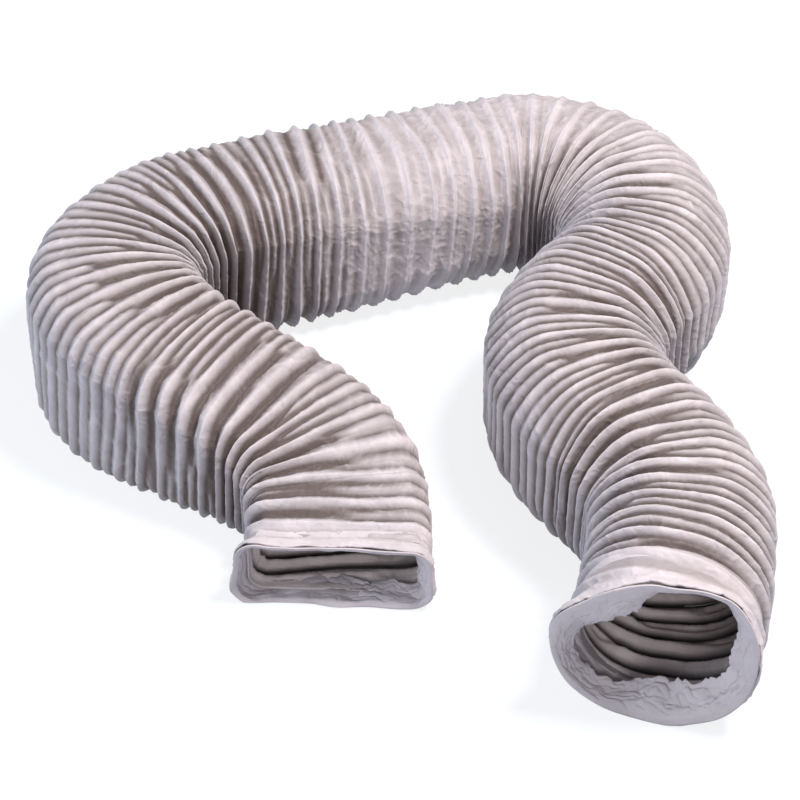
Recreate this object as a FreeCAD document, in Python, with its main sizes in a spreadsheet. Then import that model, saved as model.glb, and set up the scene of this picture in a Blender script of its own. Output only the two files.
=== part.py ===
import FreeCAD, Part
import math
import os
import Sketcher

# A flexible air duct of coated cloth on a spring wire, lying in an S on a floor.
# Millimetres, +Z up, the floor at z = 0, the mouths looking towards -Y.

os.makedirs("parts", exist_ok=True)
doc = FreeCAD.newDocument("flexible_air_duct")
Vector = FreeCAD.Vector

# Driving sizes

SIZES = [
    ("crest_half", 55.0, "half the width of the cloth over its ribs, where it is fully open"),
    ("rib_pitch", 14.6, "from one rib to the next along the middle of the duct"),
    ("rib_depth", 3.2, "from a rib's crest down to the fold beside it"),
    ("cloth_wall", 1.2, "the bonded plies of cloth, measured in a fold"),
    ("squash_corner", 32.0, "corner radius of the squarish middle of the duct, over the ribs"),
    ("round_side", 1.0, "half the flat left on each side where the duct has become round"),
    ("round_stretch", 260.0, "length over which the squarish duct becomes round"),
    ("flat_half_width", 57.0, "half the width over the ribs at the flattened mouth"),
    ("flat_half_height", 23.0, "half the height over the ribs at the flattened mouth"),
    ("flat_corner", 12.0, "corner radius over the ribs at the flattened mouth"),
    ("flat_stretch", 320.0, "length over which the flattened duct opens to its full height"),
    ("floor_flat", 0.5, "how far the ribs are pressed flat on the floor"),
    ("wire_side", 1.6, "thickness of the spring wire"),
    ("wire_clearance", 1.6, "gap left between the spring wire and the bore of the cloth"),
    ("wire_corners", 10, "straight steps in each turn of the spring wire"),
    ("corner_steps", 4, "flat steps round each corner of the cloth's outline"),
    ("spigot_radius", 50.8, "bore of the round mouth, for a 100 mm spigot"),
    ("round_cuff_length", 24.0, "plain band of cloth on the round mouth"),
    ("flat_cuff_length", 14.0, "plain band of cloth on the flattened mouth"),
    ("cuff_wall", 1.2, "outer layer of each cuff"),
    ("facing_wall", 1.0, "layer of each cuff that is turned inside"),
    ("facing_setback", 2.0, "how far the turned-in layer stops short of the cuff's rear edge"),
    ("layer_gap", 0.3, "gap between the two layers of a cuff, and behind each cuff"),
    ("bend_share", 0.45, "share of a run that the bend at its end may take"),
]

# The middle of the duct seen from above, from the flattened mouth to the round one, as it lies
# when the duct's half width is DRAWN_HALF. A wider duct bends more widely.
DRAWN_HALF = 55.0
DRAWN_ROUTE = [
    (-29, -154),
    (-25, -100),
    (-51, -56),
    (-105, -26),
    (-161, 8),
    (-179, 64),
    (-151, 118),
    (-91, 150),
    (-21, 172),
    (47, 198),
    (105, 210),
    (151, 186),
    (173, 136),
    (163, 82),
    (131, 42),
    (113, -6),
    (125, -60),
    (161, -106),
    (177, -162),
    (153, -248),
]

sheet = doc.addObject("Spreadsheet::Sheet", "sizes")
for row, (alias, value, meaning) in enumerate(SIZES, start=1):
    sheet.set("A%d" % row, meaning)
    sheet.set("B%d" % row, str(value))
    sheet.setAlias("B%d" % row, alias)
doc.recompute()


def size(alias):
    """A driving size, read from the sheet."""
    return float(sheet.get(alias))


WIDER = size("crest_half") / DRAWN_HALF
ROUTE = [(x * WIDER, y * WIDER) for x, y in DRAWN_ROUTE]


# The route as straight runs joined by tangent arcs


def heading(start, end):
    return math.atan2(end[1] - start[1], end[0] - start[0])


def turn_between(first, second):
    """The turn from one heading to the next, positive to the left."""
    return (second - first + math.pi) % (2 * math.pi) - math.pi


def route_pieces(points, share):
    """Pieces of the route as (start, heading, curvature, length), a straight run having no curvature."""
    pieces = []
    here = points[0]
    for before, corner, after in zip(points, points[1:], points[2:]):
        coming = heading(before, corner)
        turn = turn_between(coming, heading(corner, after))
        reach = share * min(math.dist(before, corner), math.dist(corner, after))
        radius = reach / math.tan(abs(turn) / 2)
        straight = math.dist(here, corner) - reach
        pieces.append((here, coming, 0.0, straight))
        entry = (corner[0] - reach * math.cos(coming), corner[1] - reach * math.sin(coming))
        pieces.append((entry, coming, math.copysign(1 / radius, turn), radius * abs(turn)))
        going = coming + turn
        here = (corner[0] + reach * math.cos(going), corner[1] + reach * math.sin(going))
    pieces.append((here, heading(here, points[-1]), 0.0, math.dist(here, points[-1])))
    return pieces


PIECES = route_pieces(ROUTE, size("bend_share"))
ROUTE_LENGTH = sum(length for _, _, _, length in PIECES)


def along(distance):
    """The point of the route at that distance from the flattened mouth, and the heading there."""
    for start, way, curvature, length in PIECES:
        if distance <= length:
            break
        distance -= length
    if curvature == 0:
        x = start[0] + distance * math.cos(way)
        y = start[1] + distance * math.sin(way)
        return (x, y), way
    turned = way + curvature * distance
    x = start[0] + (math.sin(turned) - math.sin(way)) / curvature
    y = start[1] - (math.cos(turned) - math.cos(way)) / curvature
    return (x, y), turned


# The outline of the duct square to its route


def between(start, end, share):
    share = min(max(share, 0.0), 1.0)
    return start + (end - start) * share


def section(distance):
    """Half width, half height and corner radius over the ribs."""
    opened = distance / size("flat_stretch")
    rounded = 1 - (ROUTE_LENGTH - distance) / size("round_stretch")
    half_width = between(size("flat_half_width"), size("crest_half"), opened)
    half_height = between(size("flat_half_height"), size("crest_half"), opened)
    corner = between(size("flat_corner"), size("squash_corner"), opened)
    corner = between(corner, size("crest_half") - size("round_side"), rounded)
    return half_width, half_height, corner


def in_space(distance, across, rise):
    """A point of the outline: across to the right of the route, and rise above the duct's middle."""
    (x, y), way = along(distance)
    middle = section(distance)[1] - size("floor_flat")
    return Vector(x + across * math.sin(way), y - across * math.cos(way), middle + rise)


def outline(distance, inset):
    """Corners of the duct's outline, set in from the rib's crest by inset, as (across, rise)."""
    half_width, half_height, corner = (value - inset for value in section(distance))
    steps = round(size("corner_steps"))
    points = []
    for index, (side, lift) in enumerate([(1, 1), (-1, 1), (-1, -1), (1, -1)]):
        for step in range(steps + 1):
            angle = (index + step / steps) * math.pi / 2
            across = side * (half_width - corner) + corner * math.cos(angle)
            rise = lift * (half_height - corner) + corner * math.sin(angle)
            points.append((across, rise))
    return points


def ring(distance, inset):
    """Corners of a closed outline square to the route."""
    return [in_space(distance, across, rise) for across, rise in outline(distance, inset)]


def skinned(rings, endless):
    """A solid with flat three-sided faces between each ring of points and the next."""
    sides = len(rings[0])
    points = [point for one in rings for point in one]
    faces = []
    for near in range(len(rings) if endless else len(rings) - 1):
        far = (near + 1) % len(rings)
        for index in range(sides):
            following = (index + 1) % sides
            a, b = near * sides + index, near * sides + following
            c, d = far * sides + index, far * sides + following
            faces += [(a, b, d), (a, d, c)]
    if not endless:
        last = len(points) - sides
        for index in range(1, sides - 1):
            faces += [(0, index + 1, index), (last, last + index, last + index + 1)]
    skin = Part.Shape()
    skin.makeShapeFromMesh((points, faces), 0.001)
    solid = Part.makeSolid(skin)
    if solid.Volume < 0:
        solid.reverse()
    return solid


# The ribbed cloth

COVER_START = size("flat_cuff_length") + size("layer_gap")
COVER_END = ROUTE_LENGTH - size("round_cuff_length") - size("layer_gap")
RIBS = round((COVER_END - COVER_START) / size("rib_pitch"))
PITCH = (COVER_END - COVER_START) / RIBS
BORE_INSET = size("rib_depth") + size("cloth_wall")


def bore_stations():
    """Distances at which the bore has an outline: where bends start and end, and a few inside each bend."""
    most_turn = math.radians(12)
    stations = [COVER_START]
    passed = 0.0
    for _, _, curvature, length in PIECES:
        steps = max(1, math.ceil(abs(curvature) * length / most_turn))
        stations += [passed + length * step / steps for step in range(1, steps + 1)]
        passed += length
    inside = [distance for distance in stations if COVER_START < distance < COVER_END]
    return [COVER_START] + inside + [COVER_END]


def below_floor(shape):
    """A box under the floor, as wide as the shape, for cutting it flat there."""
    box = shape.BoundBox
    margin = size("crest_half")
    corner = Vector(box.XMin - margin, box.YMin - margin, -margin)
    return Part.makeBox(box.XLength + 2 * margin, box.YLength + 2 * margin, margin, corner)


def flat_area(points):
    return Part.Face(Part.makePolygon(points + points[:1])).Area


def make_duct_cover():
    rings = []
    for half_step in range(2 * RIBS + 1):
        inset = 0 if half_step % 2 else size("rib_depth")
        rings.append(ring(COVER_START + half_step * PITCH / 2, inset))
    bore_rings = [ring(distance, BORE_INSET) for distance in reversed(bore_stations())]
    tube = skinned(rings + bore_rings, True)
    cover = tube.cut(below_floor(tube)).Solids[0]
    middle = RIBS + RIBS % 2
    fold, crest = (flat_area(ring(COVER_START + step * PITCH / 2, 0 if step % 2 else size("rib_depth")))
                   for step in (middle, middle + 1))
    wall = (fold + crest) / 2 - flat_area(ring(COVER_START + middle * PITCH / 2, BORE_INSET))
    expected = wall * (COVER_END - COVER_START)
    print("duct cover: volume over section times length %.3f" % (cover.Volume / expected))
    return cover


# The spring wire

SQUARE = [(1, 1), (-1, 1), (-1, -1), (1, -1)]
WIRE_INSET = BORE_INSET + size("wire_clearance") + size("wire_side") / math.sqrt(2)


def wire_point(distance, share):
    """Where the middle of the spring wire is at that share of its turn, from even steps round the outline."""
    points = outline(distance, WIRE_INSET)
    sides = [math.dist(a, b) for a, b in zip(points, points[1:] + points[:1])]
    way = share * sum(sides)
    for start, end, side in zip(points, points[1:] + points[:1], sides):
        if way <= side:
            break
        way -= side
    across, rise = (a + (b - a) * way / side for a, b in zip(start, end))
    return in_space(distance, across, rise)


def wire_points():
    """Corners of the spring wire, which has one turn to each rib, with their distances along the route."""
    corners = round(size("wire_corners"))
    for step in range((RIBS - 1) * corners + 1):
        distance = COVER_START + PITCH * (0.5 + step / corners)
        yield distance, wire_point(distance, step % corners / corners)


def make_spring_wire():
    """Straight steps of one square section, turned a little at each corner."""
    distances, middles = zip(*wire_points())
    half = size("wire_side") / 2
    squares = []
    for distance, before, middle, after in zip(distances, middles[:1] + middles, middles, middles[1:] + middles[-1:]):
        forward = (after - before).normalize()
        way = along(distance)[1]
        outward = forward.cross(Vector(math.cos(way), math.sin(way), 0)).normalize()
        onward = forward.cross(outward)
        squares.append([middle + outward * (half * a) + onward * (half * b) for a, b in SQUARE])
    wire = skinned(squares, False)
    report_wire(middles, wire)
    return wire


def report_wire(middles, wire):
    """Print the length of the wire, its least gap to itself, and its volume against section times length."""
    per_turn = round(size("wire_corners"))
    length = sum(a.distanceToPoint(b) for a, b in zip(middles, middles[1:]))
    apart = []
    for index, point in enumerate(middles):
        start = index + per_turn // 2
        for other, after in zip(middles[start:start + per_turn], middles[start + 1:]):
            apart.append(point.distanceToLineSegment(other, after).Length)
    gap = min(apart) - size("wire_side") * math.sqrt(2)
    print("spring wire: length %.0f mm, least gap to itself %.2f mm" % (length, gap))
    print("spring wire: volume over section times length %.3f" % (wire.Volume / length / size("wire_side") ** 2))
    if gap < 0.4:
        raise ValueError("the turns of the spring wire touch")


# The cuffs


def mouth_placement(at_round_end, depth):
    """Where a cuff's own frame goes: its +Z points out of the mouth, its origin lies depth inside."""
    distance = ROUTE_LENGTH - depth if at_round_end else depth
    way = along(distance)[1] + (0 if at_round_end else math.pi)
    outward = Vector(math.cos(way), math.sin(way), 0)
    up = Vector(0, 0, 1)
    turn = FreeCAD.Rotation(up.cross(outward), up, outward, "ZXY")
    middle_height = in_space(0 if not at_round_end else ROUTE_LENGTH, 0, 0).z
    (x, y), _ = along(distance)
    return FreeCAD.Placement(Vector(x, y, middle_height), turn)


def band(name, outer_radius, wall, length, depth):
    """A round band of cloth: a cylinder bored through by another."""
    outer = doc.addObject("Part::Cylinder", name + "_outside")
    outer.setExpression("Radius", "%s + %s" % (outer_radius, wall))
    outer.setExpression("Height", length)
    bore = doc.addObject("Part::Cylinder", name + "_bore")
    bore.setExpression("Radius", outer_radius)
    bore.setExpression("Height", length)
    cut = doc.addObject("Part::Cut", name)
    cut.Base = outer
    cut.Tool = bore
    for item in (outer, bore):
        item.Placement = mouth_placement(True, depth)
    return cut


def make_round_cuff():
    bore = "sizes.spigot_radius + sizes.facing_wall + sizes.layer_gap"
    return band("round_cuff", bore, "sizes.cuff_wall", "sizes.round_cuff_length", size("round_cuff_length"))


def make_round_cuff_facing():
    length = "sizes.round_cuff_length - sizes.facing_setback"
    depth = size("round_cuff_length") - size("facing_setback")
    return band("round_cuff_facing", "sizes.spigot_radius", "sizes.facing_wall", length, depth)


def rounded_rectangle(sketch, half_width, half_height, corner):
    """Four sides and four tangent corner arcs about the origin, sized by three expressions."""
    x, y, r = 50.0, 20.0, 5.0
    first = sketch.GeometryCount
    quarter = math.pi / 2
    sides = [((x - r, y), (r - x, y)), ((-x, y - r), (-x, r - y)), ((r - x, -y), (x - r, -y)), ((x, r - y), (x, y - r))]
    centres = [(x - r, y - r), (r - x, y - r), (r - x, r - y), (x - r, r - y)]
    up = Vector(0, 0, 1)
    for index in range(4):
        circle = Part.Circle(Vector(*centres[index], 0), up, r)
        sketch.addGeometry(Part.ArcOfCircle(circle, index * quarter, (index + 1) * quarter), False)
        start, end = sides[index]
        sketch.addGeometry(Part.LineSegment(Vector(*start, 0), Vector(*end, 0)), False)
    arcs = [first + 2 * index for index in range(4)]
    lines = [first + 2 * index + 1 for index in range(4)]
    for index in range(4):
        sketch.addConstraint(Sketcher.Constraint("Tangent", arcs[index], 2, lines[index], 1))
        sketch.addConstraint(Sketcher.Constraint("Tangent", lines[index], 2, arcs[(index + 1) % 4], 1))
        if index:
            sketch.addConstraint(Sketcher.Constraint("Equal", arcs[0], arcs[index]))
    sketch.addConstraint(Sketcher.Constraint("Horizontal", lines[0]))
    sketch.addConstraint(Sketcher.Constraint("Horizontal", lines[2]))
    sketch.addConstraint(Sketcher.Constraint("Vertical", lines[1]))
    sketch.addConstraint(Sketcher.Constraint("Vertical", lines[3]))
    sketch.addConstraint(Sketcher.Constraint("Symmetric", lines[0], 1, lines[2], 1, -1, 1))
    measures = [
        ("DistanceX", (-1, 1, lines[3], 1), half_width),
        ("DistanceY", (-1, 1, lines[0], 1), half_height),
        ("Radius", (arcs[0],), corner),
    ]
    starts = {"DistanceX": x, "DistanceY": y, "Radius": r}
    for kind, where, expression in measures:
        index = sketch.addConstraint(Sketcher.Constraint(kind, *where, starts[kind]))
        sketch.setExpression("Constraints[%d]" % index, expression)


def flat_band(name, inset, wall, length, depth):
    """A flattened band of cloth, as a pad between two rounded rectangles."""
    body = doc.addObject("PartDesign::Body", name)
    plane = [item for item in body.Origin.OriginFeatures if item.Role == "XY_Plane"][0]
    sketch = body.newObject("Sketcher::SketchObject", name + "_outline")
    sketch.AttachmentSupport = (plane, [""])
    sketch.MapMode = "FlatFace"
    for extra in (inset, "(%s) + (%s)" % (inset, wall)):
        rounded_rectangle(
            sketch,
            "sizes.flat_half_width - (%s)" % extra,
            "sizes.flat_half_height - (%s)" % extra,
            "sizes.flat_corner - (%s)" % extra,
        )
    pad = body.newObject("PartDesign::Pad", name + "_pad")
    pad.Profile = sketch
    pad.setExpression("Length", length)
    body.Placement = mouth_placement(False, depth)
    return body


FLAT_FACING_OUTSIDE = "sizes.rib_depth + sizes.cloth_wall - sizes.facing_wall"
FLAT_CUFF_OUTSIDE = FLAT_FACING_OUTSIDE + " - sizes.layer_gap - sizes.cuff_wall"


def make_flat_cuff():
    length = "sizes.flat_cuff_length"
    return flat_band("flat_cuff", FLAT_CUFF_OUTSIDE, "sizes.cuff_wall", length, size("flat_cuff_length"))


def make_flat_cuff_facing():
    length = "sizes.flat_cuff_length - sizes.facing_setback"
    depth = size("flat_cuff_length") - size("facing_setback")
    return flat_band("flat_cuff_facing", FLAT_FACING_OUTSIDE, "sizes.facing_wall", length, depth)


def shaped(name, shape):
    """A feature that holds a shape made in code."""
    feature = doc.addObject("Part::Feature", name)
    feature.Shape = shape
    feature.Placement = FreeCAD.Placement()
    return feature


# The assembly

pieces = {
    "duct_cover": shaped("duct_cover", make_duct_cover()),
    "spring_wire": shaped("spring_wire", make_spring_wire()),
    "round_cuff": make_round_cuff(),
    "round_cuff_facing": make_round_cuff_facing(),
    "flat_cuff": make_flat_cuff(),
    "flat_cuff_facing": make_flat_cuff_facing(),
}
for name, piece in pieces.items():
    piece.Label = name
doc.recompute()

for item in doc.Objects:
    if "Invalid" in item.State or "Error" in item.State:
        raise ValueError(item.Name + " failed to build")
for name, piece in pieces.items():
    if piece.Shape.isNull() or not piece.Shape.isValid() or not piece.Shape.Solids:
        raise ValueError(name + " has no valid solid")

radii = [1 / abs(curvature) for _, _, curvature, _ in PIECES if curvature]
print("route %.0f mm, bends %s" % (ROUTE_LENGTH, " ".join("%.0f" % radius for radius in radii)))
print("ribs %d, pitch %.2f mm" % (RIBS, PITCH))
for name, piece in pieces.items():
    piece.Shape.exportStep("parts/%s.step" % name)
    box = piece.Shape.BoundBox
    print("%s volume %.0f, faces %d" % (name, piece.Shape.Volume, len(piece.Shape.Faces)), box)
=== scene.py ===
import math
from collections import namedtuple
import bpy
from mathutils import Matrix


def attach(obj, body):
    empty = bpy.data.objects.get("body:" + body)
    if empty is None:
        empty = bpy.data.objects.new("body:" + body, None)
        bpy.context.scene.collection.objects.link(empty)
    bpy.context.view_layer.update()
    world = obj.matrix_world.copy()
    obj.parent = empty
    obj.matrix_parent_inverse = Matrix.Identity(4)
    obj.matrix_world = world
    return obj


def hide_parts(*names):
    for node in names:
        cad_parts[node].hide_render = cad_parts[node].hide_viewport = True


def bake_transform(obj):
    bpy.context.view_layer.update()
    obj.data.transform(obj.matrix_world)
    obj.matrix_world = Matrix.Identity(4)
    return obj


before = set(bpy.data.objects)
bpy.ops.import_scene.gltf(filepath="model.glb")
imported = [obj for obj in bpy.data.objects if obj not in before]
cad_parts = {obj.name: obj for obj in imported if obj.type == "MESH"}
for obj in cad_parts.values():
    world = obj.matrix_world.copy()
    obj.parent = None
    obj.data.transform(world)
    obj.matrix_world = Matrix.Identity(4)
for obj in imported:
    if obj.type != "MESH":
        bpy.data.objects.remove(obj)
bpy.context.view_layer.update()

from types import SimpleNamespace

import bpy
import numpy as np
from bpy.props import FloatProperty, FloatVectorProperty, IntProperty, PointerProperty
from mathutils import Vector

bl_info = {
    "name": "Flexible air duct",
    "version": (1, 0, 0),
    "blender": (4, 5, 0),
    "location": "3D View > Sidebar > Air duct",
    "description": "Builds a ribbed cloth air duct round its packed frame",
    "category": "Add Mesh",
}

# The route of the duct on the floor, from the flattened mouth to the round one, in metres.
ROUTE = [
    (-0.029, -0.154),
    (-0.025, -0.100),
    (-0.051, -0.056),
    (-0.105, -0.026),
    (-0.161, 0.008),
    (-0.179, 0.064),
    (-0.151, 0.118),
    (-0.091, 0.150),
    (-0.021, 0.172),
    (0.047, 0.198),
    (0.105, 0.210),
    (0.151, 0.186),
    (0.173, 0.136),
    (0.163, 0.082),
    (0.131, 0.042),
    (0.113, -0.006),
    (0.125, -0.060),
    (0.161, -0.106),
    (0.177, -0.162),
    (0.153, -0.248),
]
FLOOR = 0.0004


class DuctSizes(bpy.types.PropertyGroup):
    """Sizes of the duct, in metres, and how finely it is meshed"""
    crest_half: FloatProperty(
        name="Half width", description="Half the width of the open duct over its ribs",
        default=0.055, min=0.02, unit="LENGTH")
    rib_pitch: FloatProperty(
        name="Rib pitch", description="From one rib to the next along the middle of the duct",
        default=0.0146, min=0.004, unit="LENGTH")
    fold_depth: FloatProperty(
        name="Fold depth", description="How far the cloth sinks between two ribs",
        default=0.0052, min=0.0, unit="LENGTH")
    cloth: FloatProperty(
        name="Cloth", description="Thickness of the bonded plies",
        default=0.0011, min=0.0002, unit="LENGTH")
    flat_half_width: FloatProperty(
        name="Flat half width", description="Half the width over the ribs at the flattened mouth",
        default=0.057, min=0.02, unit="LENGTH")
    flat_half_height: FloatProperty(
        name="Flat half height", description="Half the height over the ribs at the flattened mouth",
        default=0.023, min=0.005, unit="LENGTH")
    wire: FloatProperty(
        name="Wire", description="Thickness of the spring wire",
        default=0.0011, min=0.0003, unit="LENGTH")
    around: IntProperty(
        name="Steps around", description="Faces round the duct", default=380, min=40)
    per_rib: IntProperty(
        name="Steps per rib", description="Faces along one rib", default=18, min=4)


class DuctColours(bpy.types.PropertyGroup):
    """Colours of the cloth, its cuffs and its wire, the painted shade in its folds, and a lining made paler
    to paint in light inside the mouths
    """
    cloth: FloatVectorProperty(
        name="Cloth", description="Coated cloth in plain light", subtype="COLOR",
        size=3, min=0, max=1, default=(0.640, 0.568, 0.580))
    # Painted shade in the valleys between ribs, strongest on the inside of bends.
    fold_shade: FloatVectorProperty(
        name="Folds", description="Dust and shade deep in the folds", subtype="COLOR",
        size=3, min=0, max=1, default=(0.120, 0.088, 0.080))
    # Paler than the outer cloth, so that it paints in light inside the shaded mouths.
    lightened_lining: FloatVectorProperty(
        name="Lining", description="Inner face of the cloth", subtype="COLOR",
        size=3, min=0, max=1, default=(0.80, 0.69, 0.66))
    cuff: FloatVectorProperty(
        name="Cuff", description="Plain bands at the mouths", subtype="COLOR",
        size=3, min=0, max=1, default=(0.640, 0.565, 0.575))
    wire: FloatVectorProperty(
        name="Wire", description="Spring wire", subtype="COLOR",
        size=3, min=0, max=1, default=(0.30, 0.29, 0.28))


# Patterns over the cloth: rows run along the duct and shares go round it, both from 0 to 1

# How strong a pattern is, its seed, how many lumps fit along it and round it, and how it leans.
Layer = namedtuple("Layer", "height seed along round lean", defaults=[0.0])


def soft_noise(layer, rows, columns):
    """Smooth values from -1 to 1 that meet themselves round the duct."""
    random = np.random.default_rng(layer.seed)
    lattice = random.uniform(-1, 1, (layer.along + 2, layer.round))
    a = np.clip(rows, 0, 1) * layer.along
    b = (columns % 1.0) * layer.round
    a0, b0 = np.floor(a).astype(int), np.floor(b).astype(int)
    fa, fb = a - a0, b - b0
    fa, fb = fa * fa * (3 - 2 * fa), fb * fb * (3 - 2 * fb)
    b1 = (b0 + 1) % layer.round
    b0 = b0 % layer.round
    low = lattice[a0, b0] * (1 - fb) + lattice[a0, b1] * fb
    high = lattice[a0 + 1, b0] * (1 - fb) + lattice[a0 + 1, b1] * fb
    return low * (1 - fa) + high * fa


def lumps(layer, rows, share):
    """Soft lumps and hollows."""
    return layer.height * soft_noise(layer, rows, share + layer.lean * rows)


def creases(layer, rows, share):
    """Thin raised lines where the smooth noise changes sign."""
    sharpness = 6
    return layer.height * np.exp(-sharpness * np.abs(soft_noise(layer, rows, share + layer.lean * rows)))


def smooth_step(values, low, high):
    share = np.clip((values - low) / (high - low), 0, 1)
    return share * share * (3 - 2 * share)


# The route and the outline of the duct


def route_curve(name):
    """The smooth line of the route on the floor."""
    data = bpy.data.curves.new(name, "CURVE")
    data.dimensions = "3D"
    spline = data.splines.new("NURBS")
    spline.points.add(len(ROUTE) - 1)
    for point, (x, y) in zip(spline.points, ROUTE):
        point.co = (x, y, 0, 1)
    spline.order_u = 3
    spline.use_endpoint_u = True
    data.resolution_u = 24
    line = bpy.data.objects.new(name, data)
    bpy.context.scene.collection.objects.link(line)
    return line


def read_route():
    """Points along the smooth line, and how far along it each one is."""
    curve = route_curve("route_guide")
    bpy.context.view_layer.update()
    mesh = bpy.data.meshes.new_from_object(curve)
    points = np.zeros(len(mesh.vertices) * 3)
    mesh.vertices.foreach_get("co", points)
    points = points.reshape(-1, 3)
    bpy.data.meshes.remove(mesh)
    bpy.data.objects.remove(curve)
    steps = np.linalg.norm(np.diff(points, axis=0), axis=1)
    keep = np.concatenate([[True], steps > 1e-7])
    points = points[keep]
    passed = np.concatenate([[0], np.cumsum(np.linalg.norm(np.diff(points, axis=0), axis=1))])
    return points, passed


POINTS, PASSED = read_route()
LENGTH = float(PASSED[-1])


def route_at(distance):
    """Place and heading at each distance; the route runs on straight past both mouths."""
    distance = np.asarray(distance, float)
    inside = np.clip(distance, 0, LENGTH)
    place = np.stack([np.interp(inside, PASSED, POINTS[:, axis]) for axis in (0, 1)], -1)
    reach = 0.004
    ahead = np.clip(inside + reach, 0, LENGTH)
    behind = np.clip(inside - reach, 0, LENGTH)
    way = np.stack([np.interp(ahead, PASSED, POINTS[:, axis])
                    - np.interp(behind, PASSED, POINTS[:, axis]) for axis in (0, 1)], -1)
    way /= np.linalg.norm(way, axis=-1, keepdims=True)
    place = place + way * (distance - inside)[..., None]
    return place, way


def bend_at(distance):
    """How sharply the route turns, positive to the left, in radians per metre."""
    reach = 0.02
    _, after = route_at(distance + reach)
    _, before = route_at(distance - reach)
    cross = before[..., 0] * after[..., 1] - before[..., 1] * after[..., 0]
    return np.arcsin(np.clip(cross, -1, 1)) / (2 * reach)


def level_point(distance):
    """A point over the route at that distance, at one height for the whole duct."""
    height = 0.03
    place, _ = route_at(np.array([distance]))
    return (float(place[0, 0]), float(place[0, 1]), height)


# Distances from the flattened mouth in metres, and what the cloth is like at each.
STATIONS = (0.0, 0.08, 0.22, 0.36, 0.50, 0.62, 0.76, 0.90, 1.04, 1.13)
# The shoulder radius.
SHOULDERS = (0.013, 0.016, 0.017, 0.019, 0.036, 0.046, 0.044, 0.034, 0.042, 0.0535)
# How far the top falls towards its shoulders.
CROWNS = (0.0, 0.003, 0.013, 0.017, 0.008, 0.006, 0.010, 0.012, 0.004, 0.0)
# The depth of the folds, and how much painted shade they get.
DEPTHS = (0.75, 0.95, 0.95, 1.05, 0.58, 0.55, 1.00, 1.15, 1.10, 0.95)
FOLD_SHADE_STRENGTH = (0.95, 1.15, 1.10, 1.15, 0.30, 0.25, 1.05, 1.25, 1.15, 1.00)
# How thin the ridges are, from rounded pleats to bare ridges.
THINNESS = (0.30, 0.25, 0.30, 0.45, 1.00, 1.00, 0.40, 0.15, 0.20, 0.30)
# How readily a pleat splits in two.
SPLITS = (0.7, 0.9, 1.0, 1.0, 0.75, 0.6, 0.9, 1.0, 1.0, 0.9)
# How far the cloth bulges.
BULGES = (0.0, 0.001, 0.0025, 0.003, 0.0025, 0.0025, 0.003, 0.0025, 0.001, 0.0)
# The flattened duct opens to its full height between these distances.
OPEN_FROM, OPEN_TO = -0.02, 0.26


def table_at(distance, values):
    return np.interp(distance, STATIONS, values)


def section_at(distance, sizes):
    """Half width, half height and corner radius over the ribs."""
    opened = smooth_step(distance, OPEN_FROM, OPEN_TO)
    bulge = table_at(distance, BULGES)
    half_width = sizes.flat_half_width + (sizes.crest_half - sizes.flat_half_width) * opened + bulge
    half_height = sizes.flat_half_height + (sizes.crest_half - sizes.flat_half_height) * opened + bulge
    return half_width, half_height, np.minimum(table_at(distance, SHOULDERS), half_height - 0.001)


def outlines(distance, share, sizes):
    """Points and outward directions round the section at each distance, and half its height.

    share goes once round, from the middle of the bottom up the right side.
    """
    half_width, half_height, corner = section_at(distance, sizes)
    flat_w, flat_h = half_width - corner, half_height - corner
    arc = corner * math.pi / 2
    whole = 4 * (flat_w + flat_h + arc)
    way = (share * whole + flat_w) % whole
    across, rise, angle, start = (np.zeros_like(way) for _ in range(4))
    # Each side of the section, then the corner that follows it: bottom, right, top and left.
    for quarter, (out_a, out_r) in enumerate([(0, -1), (1, 0), (0, 1), (-1, 0)]):
        ahead_a, ahead_r = -out_r, out_a
        straight = 2 * (flat_w if ahead_a else flat_h)
        past = way - start - straight
        here = (past >= -straight) & (past <= arc)
        facing = (quarter - 1) * math.pi / 2 + np.maximum(past, 0) / corner
        back = np.minimum(past, 0)
        side_a = (out_a + ahead_a) * flat_w + corner * np.cos(facing) + ahead_a * back
        side_r = (out_r + ahead_r) * flat_h + corner * np.sin(facing) + ahead_r * back
        across = np.where(here, side_a, across)
        rise = np.where(here, side_r, rise)
        angle = np.where(here, facing, angle)
        start = start + straight + arc
    crown = table_at(distance, CROWNS) * (across / half_width) ** 2
    rise = rise - crown * smooth_step(rise / half_height, 0.0, 0.9)
    return across, rise, np.cos(angle), np.sin(angle), half_height


def placed(distance, outline, inset):
    """Places under the outline of the duct by inset, never under the floor."""
    across, rise, out_a, out_r, half_height = outline
    a, r = across - out_a * inset, rise - out_r * inset
    place, way = route_at(distance)
    x = place[..., 0] + a * way[..., 1]
    y = place[..., 1] - a * way[..., 0]
    return np.stack([x, y, np.maximum(half_height + r, FLOOR)], -1)


# The pleats

# How the turns of wire lean, and how their pitch drifts, in ribs.
LEANS = (Layer(0.30, 3, 15, 3), Layer(0.15, 4, 40, 7))
DRIFT = Layer(0.40, 5, 14, 3)
# Where pleats split, where a third ridge starts and how far aside it is, and how deep the folds are.
SPLITTING = Layer(0.42, 7, 48, 6)
THIRD_ASIDE = Layer(0.22, 8, 50, 9)
THIRD_THERE = Layer(1.0, 9, 55, 7)
DEPTH_CHANGE = Layer(0.28, 10, 60, 5)
# How the fine wrinkles wander, along and round; the wrinkles; and soft lumps, in metres.
WANDER = (Layer(0.005, 14, 70, 15), Layer(0.030, 15, 80, 11))
WRINKLES = (Layer(0.60, 11, 130, 13), Layer(0.45, 12, 230, 34))
CROSS_WRINKLES = Layer(0.30, 17, 60, 70)
GRAIN = Layer(0.12, 13, 480, 120)
LUMPS = Layer(0.0011, 16, 28, 5)
# In metres: how far a crest lies under the outline, how high a wrinkle stands, and how far
# under the outline the cloth lies where it is smooth, at least and at most.
CREST_INSET = 0.0008
WRINKLE_HEIGHT = 0.00145
PLAIN_INSET = 0.0030
LEAST_INSET, MOST_INSET = -0.0012, 0.013


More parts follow.
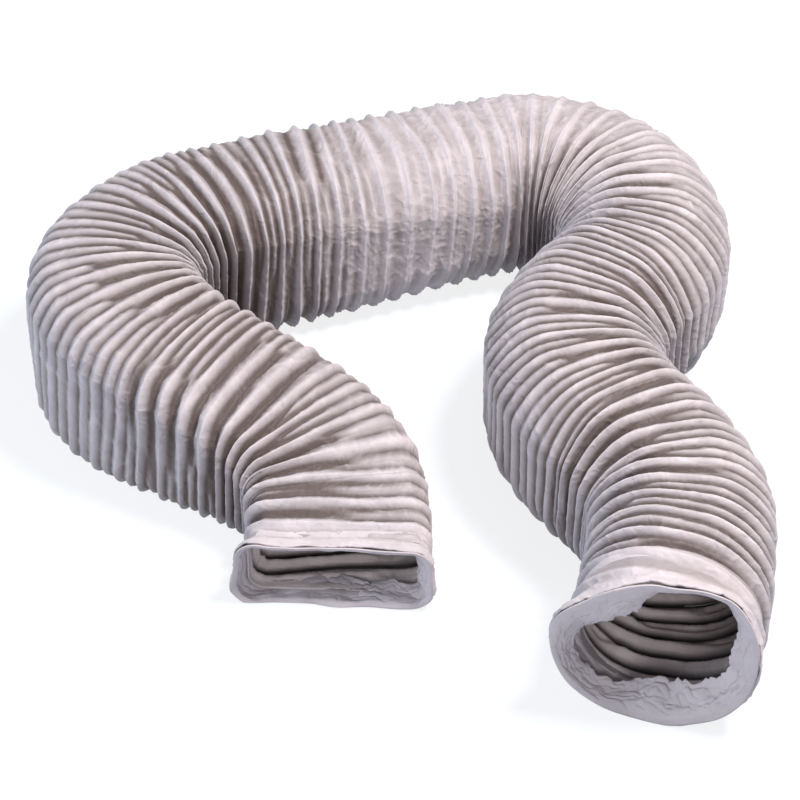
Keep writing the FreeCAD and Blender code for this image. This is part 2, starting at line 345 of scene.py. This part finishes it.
def rib_phase(distance, share, sizes):
    """Which turn of the wire a place on the cloth belongs to; the wire runs where this is a whole number."""
    rows = distance / LENGTH
    lean = sum(lumps(layer, rows, share) for layer in LEANS)
    return distance / sizes.rib_pitch - share + lean + lumps(DRIFT, rows, share * 0)


def from_whole(values):
    """How far values are from whole numbers, from 0 to 1."""
    return np.abs(values - np.round(values)) * 2


def wrinkled(rows, share):
    """Fine creases of the coated cloth, on lines that wander."""
    row = rows + lumps(WANDER[0], rows, share)
    column = share + lumps(WANDER[1], rows, share)
    raised = sum(creases(layer, row, column) for layer in WRINKLES)
    raised = raised + creases(CROSS_WRINKLES, column * 0.9 + rows * 0.1, row * 3 + share)
    return raised + lumps(GRAIN, row, column)


def pleats(distance, share, outline, sizes):
    """How far the cloth lies under the outline, and how much painted shade it gets, from 0 to 1."""
    across, _, out_a, out_r, _ = outline
    rows = distance / LENGTH
    # On the inside of a bend the ribs close up, so the cloth folds deeper there.
    stretch = 1 + bend_at(distance) * across
    tight = np.clip((1.35 - stretch) / 0.95, 0, 1)
    phase = rib_phase(distance, share, sizes)
    # On the outside of a bend a pleat may split, which puts a ridge between two turns of wire.
    split = smooth_step(stretch + lumps(SPLITTING, rows, share), 0.84, 1.12) * table_at(distance, SPLITS)
    single = from_whole(phase)
    crest = single * (1 - split) + (0.25 * single + 0.75 * from_whole(2 * phase)) * split
    thin = table_at(distance, THINNESS)
    valley = thin * (1 - (1 - crest) ** 2.4) + (1 - thin) * crest ** 1.6
    aside = np.abs((phase + 0.22 + lumps(THIRD_ASIDE, rows, share)) % 1.0 - 0.5)
    third = 0.50 * np.exp(-aside / 0.05) * smooth_step(lumps(THIRD_THERE, rows, share), -0.2, 0.25)
    at_corner = np.abs(out_a * out_r) * 2
    depth = sizes.fold_depth * table_at(distance, DEPTHS) * (0.74 + 0.95 * tight) * (1 - 0.25 * split)
    depth = depth * (1 + lumps(DEPTH_CHANGE, rows, share) + 0.35 * at_corner + 0.20 * np.abs(out_a))
    wrinkle = wrinkled(rows, share)
    inset = CREST_INSET + depth * valley * (1 - third) + lumps(LUMPS, rows, share)
    inset = inset - WRINKLE_HEIGHT * wrinkle * (0.35 + 0.65 * valley)
    # Painted shade: darkest in narrow valleys and on the inside of bends, lighter on raised wrinkles.
    shade = table_at(distance, FOLD_SHADE_STRENGTH)
    fold_shade_mask = valley ** (1.2 + 1.8 * thin) * (1 - 0.8 * third) * shade * (1.05 + 1.70 * tight)
    return inset, np.clip(fold_shade_mask - 0.26 * wrinkle + 0.20 * shade, 0, 1)


def cloth_surface(distance, share, sizes, plain):
    """Outer and inner face of the cloth, with marks for painted shade in the folds outside and along the wire
    lines inside; plain is 0 where the cloth is smooth.
    """
    outline = outlines(distance, share, sizes)
    inset, fold_shade_mask = pleats(distance, share, outline, sizes)
    # Closeness to a wire line, where painted shade darkens the lining.
    wire_shade = 1 - from_whole(rib_phase(distance, share, sizes))
    inset = np.clip(inset * plain + PLAIN_INSET * (1 - plain), LEAST_INSET, MOST_INSET)
    outer = placed(distance, outline, inset)
    inner = placed(distance, outline, inset + sizes.cloth)
    inner[..., 2] = np.maximum(inner[..., 2], FLOOR + sizes.cloth)
    return outer, inner, fold_shade_mask * plain, smooth_step(wire_shade, 0.35, 0.95) * plain


# Meshes


def grid_faces(rows, columns, first=0, turned=False):
    """Four-sided faces of a closed tube of rings."""
    near = np.arange(rows - 1)[:, None] * columns + np.arange(columns)[None, :]
    beside = np.arange(rows - 1)[:, None] * columns + (np.arange(columns)[None, :] + 1) % columns
    order = [near, beside, beside + columns, near + columns]
    if turned:
        order = order[::-1]
    return np.stack(order, -1).reshape(-1, 4) + first


def mesh_object(name, points, faces, materials, slots=None, marks=None):
    """An object at the origin with those points and faces, smooth all over."""
    mesh = bpy.data.meshes.new(name)
    count = len(faces)
    mesh.vertices.add(len(points))
    mesh.vertices.foreach_set("co", np.ascontiguousarray(points, np.float32).ravel())
    mesh.loops.add(count * 4)
    mesh.loops.foreach_set("vertex_index", np.ascontiguousarray(faces, np.int32).ravel())
    mesh.polygons.add(count)
    mesh.polygons.foreach_set("loop_start", np.arange(0, count * 4, 4, dtype=np.int32))
    mesh.polygons.foreach_set("loop_total", np.full(count, 4, np.int32))
    for material in materials:
        mesh.materials.append(material)
    if slots is not None:
        mesh.polygons.foreach_set("material_index", np.ascontiguousarray(slots, np.int32))
    mesh.update(calc_edges=True)
    for key, values in (marks or {}).items():
        attribute = mesh.attributes.new(key, "FLOAT", "POINT")
        attribute.data.foreach_set("value", np.ascontiguousarray(values, np.float32).ravel())
    mesh.validate()
    mesh.shade_smooth()
    made = bpy.data.objects.new(name, mesh)
    bpy.context.scene.collection.objects.link(made)
    return made


# Finishes

# Painted shade on the lining along the lines of the wire.
LINING_WIRE_SHADE = (0.03, 0.022, 0.02)


def add_node(tree, kind, values=None, **settings):
    """A new node with those settings and those values on its inputs."""
    node = tree.nodes.new(kind)
    for name, value in settings.items():
        setattr(node, name, value)
    for name, value in (values or {}).items():
        node.inputs[name].default_value = value
    return node


def new_material(name, values):
    """A material with those values on its shader."""
    material = bpy.data.materials.new(name)
    material.use_nodes = True
    shader = material.node_tree.nodes["Principled BSDF"]
    for key, value in values.items():
        shader.inputs[key].default_value = value
    return material, material.node_tree, shader


def crumple_group():
    """Node group: fine creases and weave of coated cloth, as a height and a mottling."""
    if "cloth_crumple" in bpy.data.node_groups:
        return bpy.data.node_groups["cloth_crumple"]
    group = bpy.data.node_groups.new("cloth_crumple", "ShaderNodeTree")
    for name, start in (("Crease scale", 160.0), ("Weave scale", 900.0)):
        socket = group.interface.new_socket(name=name, in_out="INPUT", socket_type="NodeSocketFloat")
        socket.default_value = start
    for name in ("Height", "Mottle"):
        group.interface.new_socket(name=name, in_out="OUTPUT", socket_type="NodeSocketFloat")
    into = add_node(group, "NodeGroupInput")
    out = add_node(group, "NodeGroupOutput")
    place = add_node(group, "ShaderNodeTexCoord")
    crease = add_node(group, "ShaderNodeTexNoise", {"Detail": 4.0, "Distortion": 0.6},
                      noise_type="RIDGED_MULTIFRACTAL")
    weave = add_node(group, "ShaderNodeTexNoise", {"Detail": 1.0})
    mottle = add_node(group, "ShaderNodeTexNoise", {"Scale": 55.0, "Detail": 5.0})
    # A quarter of the weave's height on top of the creases.
    mix = add_node(group, "ShaderNodeMath", {1: 0.25}, operation="MULTIPLY_ADD")
    link = group.links.new
    for texture in (crease, weave, mottle):
        link(place.outputs["Object"], texture.inputs["Vector"])
    link(into.outputs["Crease scale"], crease.inputs["Scale"])
    link(into.outputs["Weave scale"], weave.inputs["Scale"])
    link(weave.outputs["Fac"], mix.inputs[0])
    link(crease.outputs["Fac"], mix.inputs[2])
    link(mix.outputs[0], out.inputs["Height"])
    link(mottle.outputs["Fac"], out.inputs["Mottle"])
    return group


def cloth_material(name, colour, fold_shade_colour, roughness, bump, mottle_share=0.16, fold_shade_share=1.0):
    """Coated cloth: mottled, with painted shade down in the folds, and with fine creases."""
    material, tree, shader = new_material(name, {
        "Roughness": roughness, "Specular IOR Level": 0.35, "Sheen Weight": 0.15, "Sheen Roughness": 0.5})
    crumple = add_node(tree, "ShaderNodeGroup", node_tree=crumple_group())
    pale = add_node(tree, "ShaderNodeMapRange", {
        "From Min": 0.3, "From Max": 0.7, "To Min": 1.0 - mottle_share, "To Max": 1.0 + mottle_share * 0.3})
    mottled = add_node(tree, "ShaderNodeMix", {"Factor": 1.0, "A": (*colour, 1)},
                       data_type="RGBA", blend_type="MULTIPLY")
    # This mark says where painted shade darkens the cloth.
    fold_shade = add_node(tree, "ShaderNodeAttribute", attribute_name="fold_shade")
    depth = add_node(tree, "ShaderNodeMapRange", {"From Min": 0.10, "From Max": 1.0, "To Max": fold_shade_share})
    shaded = add_node(tree, "ShaderNodeMix", {"B": (*fold_shade_colour, 1)}, data_type="RGBA")
    height = add_node(tree, "ShaderNodeBump", {"Strength": bump, "Distance": 0.0009})
    link = tree.links.new
    link(crumple.outputs["Mottle"], pale.inputs["Value"])
    link(pale.outputs["Result"], mottled.inputs["B"])
    link(fold_shade.outputs["Fac"], depth.inputs["Value"])
    link(depth.outputs["Result"], shaded.inputs["Factor"])
    link(mottled.outputs["Result"], shaded.inputs["A"])
    link(shaded.outputs["Result"], shader.inputs["Base Color"])
    link(crumple.outputs["Height"], height.inputs["Height"])
    link(height.outputs["Normal"], shader.inputs["Normal"])
    return material


def wire_material(name, colour):
    """Drawn spring wire with a dull, uneven skin."""
    material, tree, shader = new_material(name, {"Base Color": (*colour, 1), "Metallic": 1.0})
    noise = add_node(tree, "ShaderNodeTexNoise", {"Scale": 300.0})
    dullness = add_node(tree, "ShaderNodeMapRange", {"To Min": 0.3, "To Max": 0.6})
    tree.links.new(noise.outputs["Fac"], dullness.inputs["Value"])
    tree.links.new(dullness.outputs["Result"], shader.inputs["Roughness"])
    return material


def finish_named(name):
    """The finish of that name, made from the panel's colours the first time."""
    if name in bpy.data.materials:
        return bpy.data.materials[name]
    colours = bpy.context.scene.duct_colours
    if name == "coated_cloth":
        return cloth_material(name, colours.cloth, colours.fold_shade, roughness=0.58, bump=1.0)
    # The lining is paler than the outer cloth to paint in light inside the mouths, and gets painted shade
    # along the wire lines.
    if name == "cloth_lining":
        return cloth_material(name, colours.lightened_lining, LINING_WIRE_SHADE, roughness=0.72, bump=0.5)
    # The cuff bands get half as much painted shade as the ribbed cloth.
    if name == "crumpled_cuff":
        return cloth_material(name, colours.cuff, colours.fold_shade, roughness=0.6, bump=0.6,
                              mottle_share=0.12, fold_shade_share=0.5)
    return wire_material(name, colours.wire)


# The cloth and its wire

# Lengths along the duct, in metres: each cuff, the length of cloth beside it, and how far the
# cloth is tucked under the cuff.
ROUND_CUFF = 0.024
FLAT_CUFF = 0.014
ROUND_BLEND = 0.040
FLAT_BLEND = 0.042
TUCKED = 0.005
# The ribs die away from this far beside a cuff to this far under it.
RIBS_BESIDE, RIBS_UNDER = 0.006, 0.001


def tube_points(distances, sizes):
    """Outer and inner rings of the cloth at those distances, with their marks of painted shade."""
    columns = sizes.around
    share = np.broadcast_to(np.arange(columns) / columns, (len(distances), columns))
    rows = np.broadcast_to(np.asarray(distances)[:, None], share.shape)
    round_cuff = LENGTH - ROUND_CUFF
    plain = np.minimum(smooth_step(rows, FLAT_CUFF - RIBS_UNDER, FLAT_CUFF + RIBS_BESIDE),
                       1 - smooth_step(rows, round_cuff - RIBS_BESIDE, round_cuff + RIBS_UNDER))
    return cloth_surface(rows, share, sizes, plain)


def make_cloth(name, low, high, sizes):
    """One length of ribbed cloth, with an outer and an inner face joined at both ends."""
    step = sizes.rib_pitch / sizes.per_rib
    rows = 2 * max(4, round((high - low) / step / 2)) + 1
    outer, inner, fold_shade_mask, wire_shade = tube_points(np.linspace(low, high, rows), sizes)
    # The inner face has half the rows of the outer one.
    inner, wire_shade = inner[::2], wire_shade[::2]
    columns = sizes.around
    half = rows * columns
    points = np.concatenate([outer.reshape(-1, 3), inner.reshape(-1, 3)])
    ring = np.arange(columns)
    beside = (ring + 1) % columns
    last = (rows - 1) * columns
    inner_last = half + (len(inner) - 1) * columns
    faces = [
        grid_faces(rows, columns),
        grid_faces(len(inner), columns, half, True),
        np.stack([ring, half + ring, half + beside, beside], -1),
        np.stack([last + ring, last + beside, inner_last + beside, inner_last + ring], -1),
    ]
    slots = np.repeat([0, 1, 0, 0], [len(part) for part in faces])
    # Painted shade: in the valleys outside and along the wire lines on the lining.
    marks = np.concatenate([fold_shade_mask.ravel(), wire_shade.ravel()])
    piece = mesh_object(name, points, np.concatenate(faces),
                        [finish_named("coated_cloth"), finish_named("cloth_lining")], slots, {"fold_shade": marks})
    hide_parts("duct_cover")
    return piece


def blend_ends(flat_piece, round_piece, low, high):
    """Bake the transform of each end piece of cloth into its mesh; the points over the route beside each cuff
    are worked out but not used.
    """
    level_point(low + FLAT_BLEND)
    level_point(low + 0.002)
    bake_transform(flat_piece)
    level_point(high - ROUND_BLEND)
    level_point(high - 0.002)
    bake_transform(round_piece)


class DUCT_OT_cloth(bpy.types.Operator):
    """Build the ribbed cloth along the route"""
    bl_idname = "duct.cloth"
    bl_label = "Ribbed cloth"

    def execute(self, context):
        sizes = context.scene.duct_sizes
        low, high = FLAT_CUFF - TUCKED, LENGTH - ROUND_CUFF + TUCKED
        main = make_cloth("duct_cloth", low + FLAT_BLEND, high - ROUND_BLEND, sizes)
        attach(main, "duct")
        flat_end = make_cloth("duct_cloth_flat_end", low, low + FLAT_BLEND, sizes)
        round_end = make_cloth("duct_cloth_round_end", high - ROUND_BLEND, high, sizes)
        blend_ends(flat_end, round_end, low, high)
        level_point(FLAT_CUFF + FLAT_BLEND / 2)
        return {"FINISHED"}


# Steps in one turn of the wire, sides of its section, and the gap between it and the cloth.
WIRE_STEPS = 60
WIRE_SIDES = 6
WIRE_GAP = 0.0002
# Places along the duct at which the wire's turns are counted.
COUNTED = 5000


class DUCT_OT_wire(bpy.types.Operator):
    """Wind the spring wire under the ridges of the cloth"""
    bl_idname = "duct.wire"
    bl_label = "Spring wire"

    def execute(self, context):
        sizes = context.scene.duct_sizes
        table = np.linspace(FLAT_CUFF + FLAT_BLEND, LENGTH - ROUND_CUFF - ROUND_BLEND, COUNTED)
        shares = np.arange(WIRE_STEPS) / WIRE_STEPS
        phases = [rib_phase(table, np.full_like(table, share), sizes) for share in shares]
        first = math.ceil(max(phase[0] for phase in phases))
        last = math.floor(min(phase[-1] for phase in phases))
        turns = np.arange(first, last)
        distance = np.stack([np.interp(turns, phase, table) for phase in phases], 1).reshape(-1, 1)
        share = np.tile(shares, len(turns)).reshape(-1, 1)
        outline = outlines(distance, share, sizes)
        inset = pleats(distance, share, outline, sizes)[0]
        radius = sizes.wire / 2
        middle = np.clip(inset, LEAST_INSET, MOST_INSET) + sizes.cloth + radius + WIRE_GAP
        _, way = route_at(distance)
        forward = np.concatenate([way, np.zeros_like(way[..., :1])], -1)
        ring = []
        for side in range(WIRE_SIDES):
            angle = 2 * math.pi * side / WIRE_SIDES
            point = placed(distance, outline, middle - radius * math.cos(angle))
            ring.append((point + forward * radius * math.sin(angle))[:, 0])
        points = np.stack(ring, 1).reshape(-1, 3)
        coil = mesh_object("spring_wire_coil", points, grid_faces(len(distance), WIRE_SIDES),
                           [finish_named("drawn_wire")])
        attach(coil, "duct")
        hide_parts("spring_wire")
        return {"FINISHED"}


# The cuffs

# All in metres. The thickness of a band and of the layer turned inside it.
BAND_CLOTH = 0.0011
TURNED_CLOTH = 0.0009
# How far a band reaches back over the cloth, how far it lies under the outline, and how far the
# last ribs may raise or sink it.
OVERLAP = 0.003
BAND_INSET = 0.0010
RIB_RAISES, RIB_SINKS = 0.0006, 0.0032
# How far the turned-in layer stands out past the rim, how far it lies under the outline there, and
# how much deeper it goes just inside.
LIP = 0.0013
LIP_INSET = 0.0007
LIP_DROP = 0.0024

# way is 1 where the mouth opens along the route and -1 where it opens back along it. forward moves
# the rim along the route and droop moves it towards the duct's middle. inward and backward say how
# far the turned-in layer reaches. These four are (share, metres) pairs round the mouth.
# At the round mouth share 0 is the bottom, 0.25 the camera's left, 0.5 the top, 0.75 its right.
ROUND_MOUTH = SimpleNamespace(
    end=LENGTH,
    way=1,
    cuff=ROUND_CUFF,
    band_rows=40,
    turned_rows=34,
    forward=((0.0, 0.001), (0.2, 0.003), (0.38, 0.005), (0.5, 0.001), (0.62, -0.006), (0.75, -0.003),
             (0.9, 0.0)),
    forward_wave=Layer(0.0013, 43, 1, 19),
    droop=((0.0, 0.0), (0.13, -0.005), (0.25, -0.009), (0.37, 0.001), (0.47, 0.004), (0.62, 0.0),
           (0.8, -0.001)),
    droop_wave=Layer(0.0010, 44, 1, 13),
    droop_power=2,
    ribs_fade=(0.55, 0.90),
    band_lumps=Layer(0.0011, 45, 5, 19),
    band_creases=(Layer(-0.0012, 46, 7, 17, 0.03), Layer(-0.0009, 48, 10, 43, -0.02)),
    inward=((0.0, 0.015), (0.10, 0.009), (0.20, 0.006), (0.31, 0.020), (0.42, 0.019), (0.52, 0.004),
            (0.64, 0.009), (0.76, 0.016), (0.88, 0.013)),
    backward=((0.0, 0.014), (0.12, 0.013), (0.22, 0.010), (0.34, 0.004), (0.44, 0.005), (0.54, 0.010),
              (0.66, 0.010), (0.76, 0.006), (0.88, 0.010)),
    backward_power=1.25,
    torn=(Layer(0.22, 41, 1, 17), Layer(0.10, 42, 1, 47), Layer(0.05, 49, 1, 131)),
    turned_lumps=Layer(0.0015, 47, 3, 27, 0.02),
    turned_creases=(Layer(-0.0013, 50, 4, 23, 0.05), Layer(-0.0010, 60, 7, 51, -0.04)),
)
# At the flattened mouth share 0 is the bottom, 0.25 the camera's right, 0.5 the top, 0.75 its left.
FLAT_MOUTH = SimpleNamespace(
    end=0.0,
    way=-1,
    cuff=FLAT_CUFF,
    band_rows=30,
    turned_rows=28,
    forward=((0.0, 0.0),),
    forward_wave=Layer(0.0013, 53, 1, 17),
    droop=((0.0, 0.0), (0.25, 0.0), (0.42, 0.001), (0.62, 0.0), (0.71, -0.004), (0.79, -0.006),
           (0.87, -0.002)),
    droop_wave=Layer(0.0010, 54, 1, 9),
    droop_power=1,
    ribs_fade=(0.40, 0.85),
    band_lumps=Layer(0.0010, 55, 4, 23),
    band_creases=(Layer(-0.0012, 56, 6, 19, 0.03), Layer(-0.0009, 58, 8, 45, -0.02)),
    inward=((0.0, 0.001), (0.15, 0.004), (0.25, 0.009), (0.4, 0.004), (0.6, 0.003), (0.75, 0.004),
            (0.87, 0.0015)),
    backward=((0.0, 0.021), (0.15, 0.018), (0.25, 0.012), (0.4, 0.009), (0.6, 0.008), (0.75, 0.010),
              (0.87, 0.020)),
    backward_power=1,
    torn=(Layer(0.20, 51, 1, 19), Layer(0.09, 52, 1, 49), Layer(0.05, 59, 1, 127)),
    turned_lumps=Layer(0.0011, 57, 3, 29, 0.02),
    turned_creases=(Layer(-0.0012, 61, 4, 25, 0.05), Layer(-0.0008, 62, 7, 53, -0.04)),
)


def around_mouth(share, keys):
    """A value that runs smoothly round the mouth through (share, value) pairs."""
    shares = np.array([key[0] for key in keys] + [keys[0][0] + 1.0])
    values = np.array([key[1] for key in keys] + [keys[0][1]])
    place = (share - shares[0]) % 1.0 + shares[0]
    index = np.clip(np.searchsorted(shares, place, side="right") - 1, 0, len(keys) - 1)
    part = (place - shares[index]) / (shares[index + 1] - shares[index])
    part = part * part * (3 - 2 * part)
    return values[index] + (values[index + 1] - values[index]) * part


def mouth_rim(mouth, sizes):
    """Shares round the mouth, with the rim's distance along the route and its droop at each."""
    share = np.arange(sizes.around)[None, :] / sizes.around
    rim = mouth.end + around_mouth(share, mouth.forward) + lumps(mouth.forward_wave, share * 0, share)
    droop = around_mouth(share, mouth.droop) + lumps(mouth.droop_wave, share * 0, share)
    return share, rim, droop


def cuff_outside(mouth, sizes):
    """Rows of the band, in order along the route, and how much painted shade they get; the last ribs die away
    on it.
    """
    share, rim, droop = mouth_rim(mouth, sizes)
    part = np.linspace(0, 1, mouth.band_rows)[:, None] + share * 0
    share = share + part * 0
    rear = mouth.end - mouth.way * (mouth.cuff + OVERLAP)
    distance = rear + (rim - rear) * part
    crumple = lumps(mouth.band_lumps, part, share) + sum(creases(layer, part, share)
                                                         for layer in mouth.band_creases)
    fade = 1 - smooth_step(part, *mouth.ribs_fade)
    outline = outlines(distance, share, sizes)
    inset, fold_shade_mask = pleats(distance, share, outline, sizes)
    inset = BAND_INSET + np.clip(inset, -RIB_RAISES, RIB_SINKS) * fade
    inset = inset + droop * part ** mouth.droop_power + crumple * (0.15 + 0.85 * part)
    return placed(distance, outline, inset)[::mouth.way], (fold_shade_mask * fade)[::mouth.way]


def cuff_inside(mouth, sizes):
    """Rows of the layer turned inside the mouth, in order along the route, with a torn rear edge."""
    share, rim, droop = mouth_rim(mouth, sizes)
    torn = 1 + sum(lumps(layer, share * 0, share) for layer in mouth.torn)
    inward = around_mouth(share, mouth.inward) * torn
    backward = around_mouth(share, mouth.backward) * torn
    turn = np.linspace(0, 1, mouth.turned_rows)[:, None] + share * 0
    share = share + turn * 0
    ruffle = lumps(mouth.turned_lumps, turn, share) + sum(creases(layer, turn, share)
                                                          for layer in mouth.turned_creases)
    inset = LIP_INSET + droop + LIP_DROP * smooth_step(turn, 0, 0.1) + inward * turn ** 0.9
    inset = inset + ruffle * smooth_step(turn, 0, 0.25)
    distance = rim + mouth.way * (LIP - backward * turn ** mouth.backward_power)
    return placed(distance, outlines(distance, share, sizes), inset)[::-mouth.way]


def thick_sheet(name, rows, thickness, body, replaced, fold_shade=None):
    """A closed sheet from rows of points that each go once round, thickened about its middle."""
    count, columns = rows.shape[:2]
    along = np.gradient(rows, axis=0)
    sideways = np.roll(rows, -1, axis=1) - np.roll(rows, 1, axis=1)
    out = np.cross(sideways, along)
    out /= np.maximum(np.linalg.norm(out, axis=-1, keepdims=True), 1e-12)
    outer, inner = rows + out * thickness / 2, rows - out * thickness / 2
    for face in (outer, inner):
        face[..., 2] = np.maximum(face[..., 2], FLOOR)
    rings = np.concatenate([outer, inner[::-1]])
    faces = grid_faces(2 * count, columns, 0, True)
    ring = np.arange(columns)
    beside = (ring + 1) % columns
    last = (2 * count - 1) * columns
    closing = np.stack([beside, last + beside, last + ring, ring], -1)
    marks = np.zeros((count, columns)) if fold_shade is None else fold_shade
    piece = mesh_object(name, rings.reshape(-1, 3), np.concatenate([faces, closing]),
                        [finish_named("crumpled_cuff")], None, {"fold_shade": np.concatenate([marks, marks[::-1]])})
    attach(piece, body)
    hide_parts(replaced)


class DUCT_OT_round_cuff(bpy.types.Operator):
    """Build the plain band at the round mouth and the layer turned inside it"""
    bl_idname = "duct.round_cuff"
    bl_label = "Round cuff"

    def execute(self, context):
        sizes = context.scene.duct_sizes
        band, fold_shade_mask = cuff_outside(ROUND_MOUTH, sizes)
        thick_sheet("round_cuff_band", band, BAND_CLOTH, "round_mouth", "round_cuff", fold_shade_mask)
        thick_sheet("round_cuff_turned_in", cuff_inside(ROUND_MOUTH, sizes), TURNED_CLOTH, "round_mouth",
                    "round_cuff_facing")
        return {"FINISHED"}


class DUCT_OT_flat_cuff(bpy.types.Operator):
    """Build the plain band at the flattened mouth and the layer turned inside it"""
    bl_idname = "duct.flat_cuff"
    bl_label = "Flat cuff"

    def execute(self, context):
        sizes = context.scene.duct_sizes
        band, fold_shade_mask = cuff_outside(FLAT_MOUTH, sizes)
        thick_sheet("flat_cuff_band", band, BAND_CLOTH, "flat_mouth", "flat_cuff", fold_shade_mask)
        thick_sheet("flat_cuff_turned_in", cuff_inside(FLAT_MOUTH, sizes), TURNED_CLOTH, "flat_mouth",
                    "flat_cuff_facing")
        return {"FINISHED"}


# The stage

FLOOR_HALF = 6.0
FLOOR_COLOUR = (0.33, 0.37, 0.44)
# How brightly the floor glows for the camera, and how much of what it sees is that glow.
GLOW = 1.66
GLOW_SHARE = 0.5
SKY_COLOUR = (0.84, 0.89, 1.0)
SKY_STRENGTH = 0.24
# Name, place, target, side, power and colour of each light.
LIGHTS = (
    ("key_light", (0.85, -0.15, 1.95), (0, 0, 0), 0.4, 51.0, (1.0, 0.965, 0.95)),
    ("side_light", (-1.9, -0.5, 0.8), (0, 0, 0), 1.0, 22.0, (0.74, 0.86, 1.0)),
    ("front_light", (0.1, -2.2, 0.9), (0.05, -0.1, 0.05), 0.8, 12.0, (0.95, 0.96, 1.0)),
)
CAMERA_PLACE = (0.0083, -1.2901, 1.0878)
CAMERA_TILT = math.radians(50.7)
LENS = 118.5
SENSOR = 36.0


def any_ray(tree, kinds):
    """An output that is 1 for rays of any of those kinds."""
    rays = add_node(tree, "ShaderNodeLightPath")
    found = rays.outputs[kinds[0]]
    for kind in kinds[1:]:
        either = add_node(tree, "ShaderNodeMath", operation="MAXIMUM")
        tree.links.new(found, either.inputs[0])
        tree.links.new(rays.outputs[kind], either.inputs[1])
        found = either.outputs[0]
    return found


def mix_shaders(tree, share, first, second, surface):
    """Show the second shader by that share and the first one elsewhere."""
    mix = add_node(tree, "ShaderNodeMixShader")
    tree.links.new(share, mix.inputs["Fac"])
    tree.links.new(first, mix.inputs[1])
    tree.links.new(second, mix.inputs[2])
    tree.links.new(mix.outputs["Shader"], surface)


def floor_material():
    """Pale floor that shows the camera nearly white and keeps the duct's shadow."""
    material, tree, shader = new_material("stage_floor", {
        "Base Color": (*FLOOR_COLOUR, 1), "Roughness": 0.9, "Specular IOR Level": 0.0})
    glow = add_node(tree, "ShaderNodeEmission", {"Color": (1, 1, 1, 1), "Strength": GLOW})
    seen = any_ray(tree, ("Is Camera Ray", "Is Transmission Ray", "Is Glossy Ray"))
    share = add_node(tree, "ShaderNodeMath", {1: GLOW_SHARE}, operation="MULTIPLY")
    tree.links.new(seen, share.inputs[0])
    mix_shaders(tree, share.outputs[0], shader.outputs["BSDF"], glow.outputs["Emission"],
                tree.nodes["Material Output"].inputs["Surface"])
    return material


def studio_world():
    """Soft blue light from all round, behind which the camera sees plain white."""
    world = bpy.data.worlds.new("studio")
    world.use_nodes = True
    tree = world.node_tree
    sky = tree.nodes["Background"]
    sky.inputs["Color"].default_value = (*SKY_COLOUR, 1)
    sky.inputs["Strength"].default_value = SKY_STRENGTH
    white = add_node(tree, "ShaderNodeBackground", {"Color": (1, 1, 1, 1)})
    seen = any_ray(tree, ("Is Camera Ray", "Is Transmission Ray"))
    mix_shaders(tree, seen, sky.outputs[0], white.outputs[0], tree.nodes["World Output"].inputs["Surface"])
    return world


def area_light(name, place, target, side, power, colour):
    data = bpy.data.lights.new(name, "AREA")
    data.shape = "SQUARE"
    data.size = side
    data.energy = power
    data.color = colour
    lamp = bpy.data.objects.new(name, data)
    lamp.location = place
    lamp.rotation_euler = (Vector(target) - Vector(place)).to_track_quat("-Z", "Y").to_euler()
    bpy.context.scene.collection.objects.link(lamp)


class DUCT_OT_stage(bpy.types.Operator):
    """Set up the floor, the soft lights, the background and the camera"""
    bl_idname = "duct.stage"
    bl_label = "Stage"

    def execute(self, context):
        scene = context.scene
        scene.view_settings.view_transform = "Standard"
        floor = bpy.data.meshes.new("floor")
        corners = [(x * FLOOR_HALF, y * FLOOR_HALF, 0) for x, y in ((-1, -1), (1, -1), (1, 1), (-1, 1))]
        floor.from_pydata(corners, [], [(0, 1, 2, 3)])
        floor.materials.append(floor_material())
        ground = bpy.data.objects.new("floor", floor)
        scene.collection.objects.link(ground)
        scene.world = studio_world()
        for light in LIGHTS:
            area_light(*light)
        data = bpy.data.cameras.new("camera")
        data.lens = LENS
        data.sensor_width = SENSOR
        camera = bpy.data.objects.new("camera", data)
        camera.location = CAMERA_PLACE
        camera.rotation_euler = (CAMERA_TILT, 0, 0)
        scene.collection.objects.link(camera)
        scene.camera = camera
        return {"FINISHED"}


# The add-on

OPERATORS = (DUCT_OT_stage, DUCT_OT_cloth, DUCT_OT_wire, DUCT_OT_round_cuff, DUCT_OT_flat_cuff)


class DUCT_PT_panel(bpy.types.Panel):
    """Sizes, colours and one button for each group of pieces"""
    bl_idname = "DUCT_PT_panel"
    bl_label = "Flexible air duct"
    bl_space_type = "VIEW_3D"
    bl_region_type = "UI"
    bl_category = "Air duct"

    def draw(self, context):
        layout = self.layout
        for group in (context.scene.duct_sizes, context.scene.duct_colours):
            for name in group.__annotations__:
                layout.prop(group, name)
        for operator in OPERATORS:
            layout.operator(operator.bl_idname)


CLASSES = (DuctSizes, DuctColours) + OPERATORS + (DUCT_PT_panel,)


def register():
    for cls in CLASSES:
        bpy.utils.register_class(cls)
    bpy.types.Scene.duct_sizes = PointerProperty(type=DuctSizes)
    bpy.types.Scene.duct_colours = PointerProperty(type=DuctColours)


def unregister():
    del bpy.types.Scene.duct_colours
    del bpy.types.Scene.duct_sizes
    for cls in reversed(CLASSES):
        bpy.utils.unregister_class(cls)


def main():
    register()
    bpy.ops.duct.stage()
    bpy.ops.duct.cloth()
    bpy.ops.duct.wire()
    bpy.ops.duct.round_cuff()
    bpy.ops.duct.flat_cuff()
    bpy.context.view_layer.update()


if __name__ == "__main__":
    main()
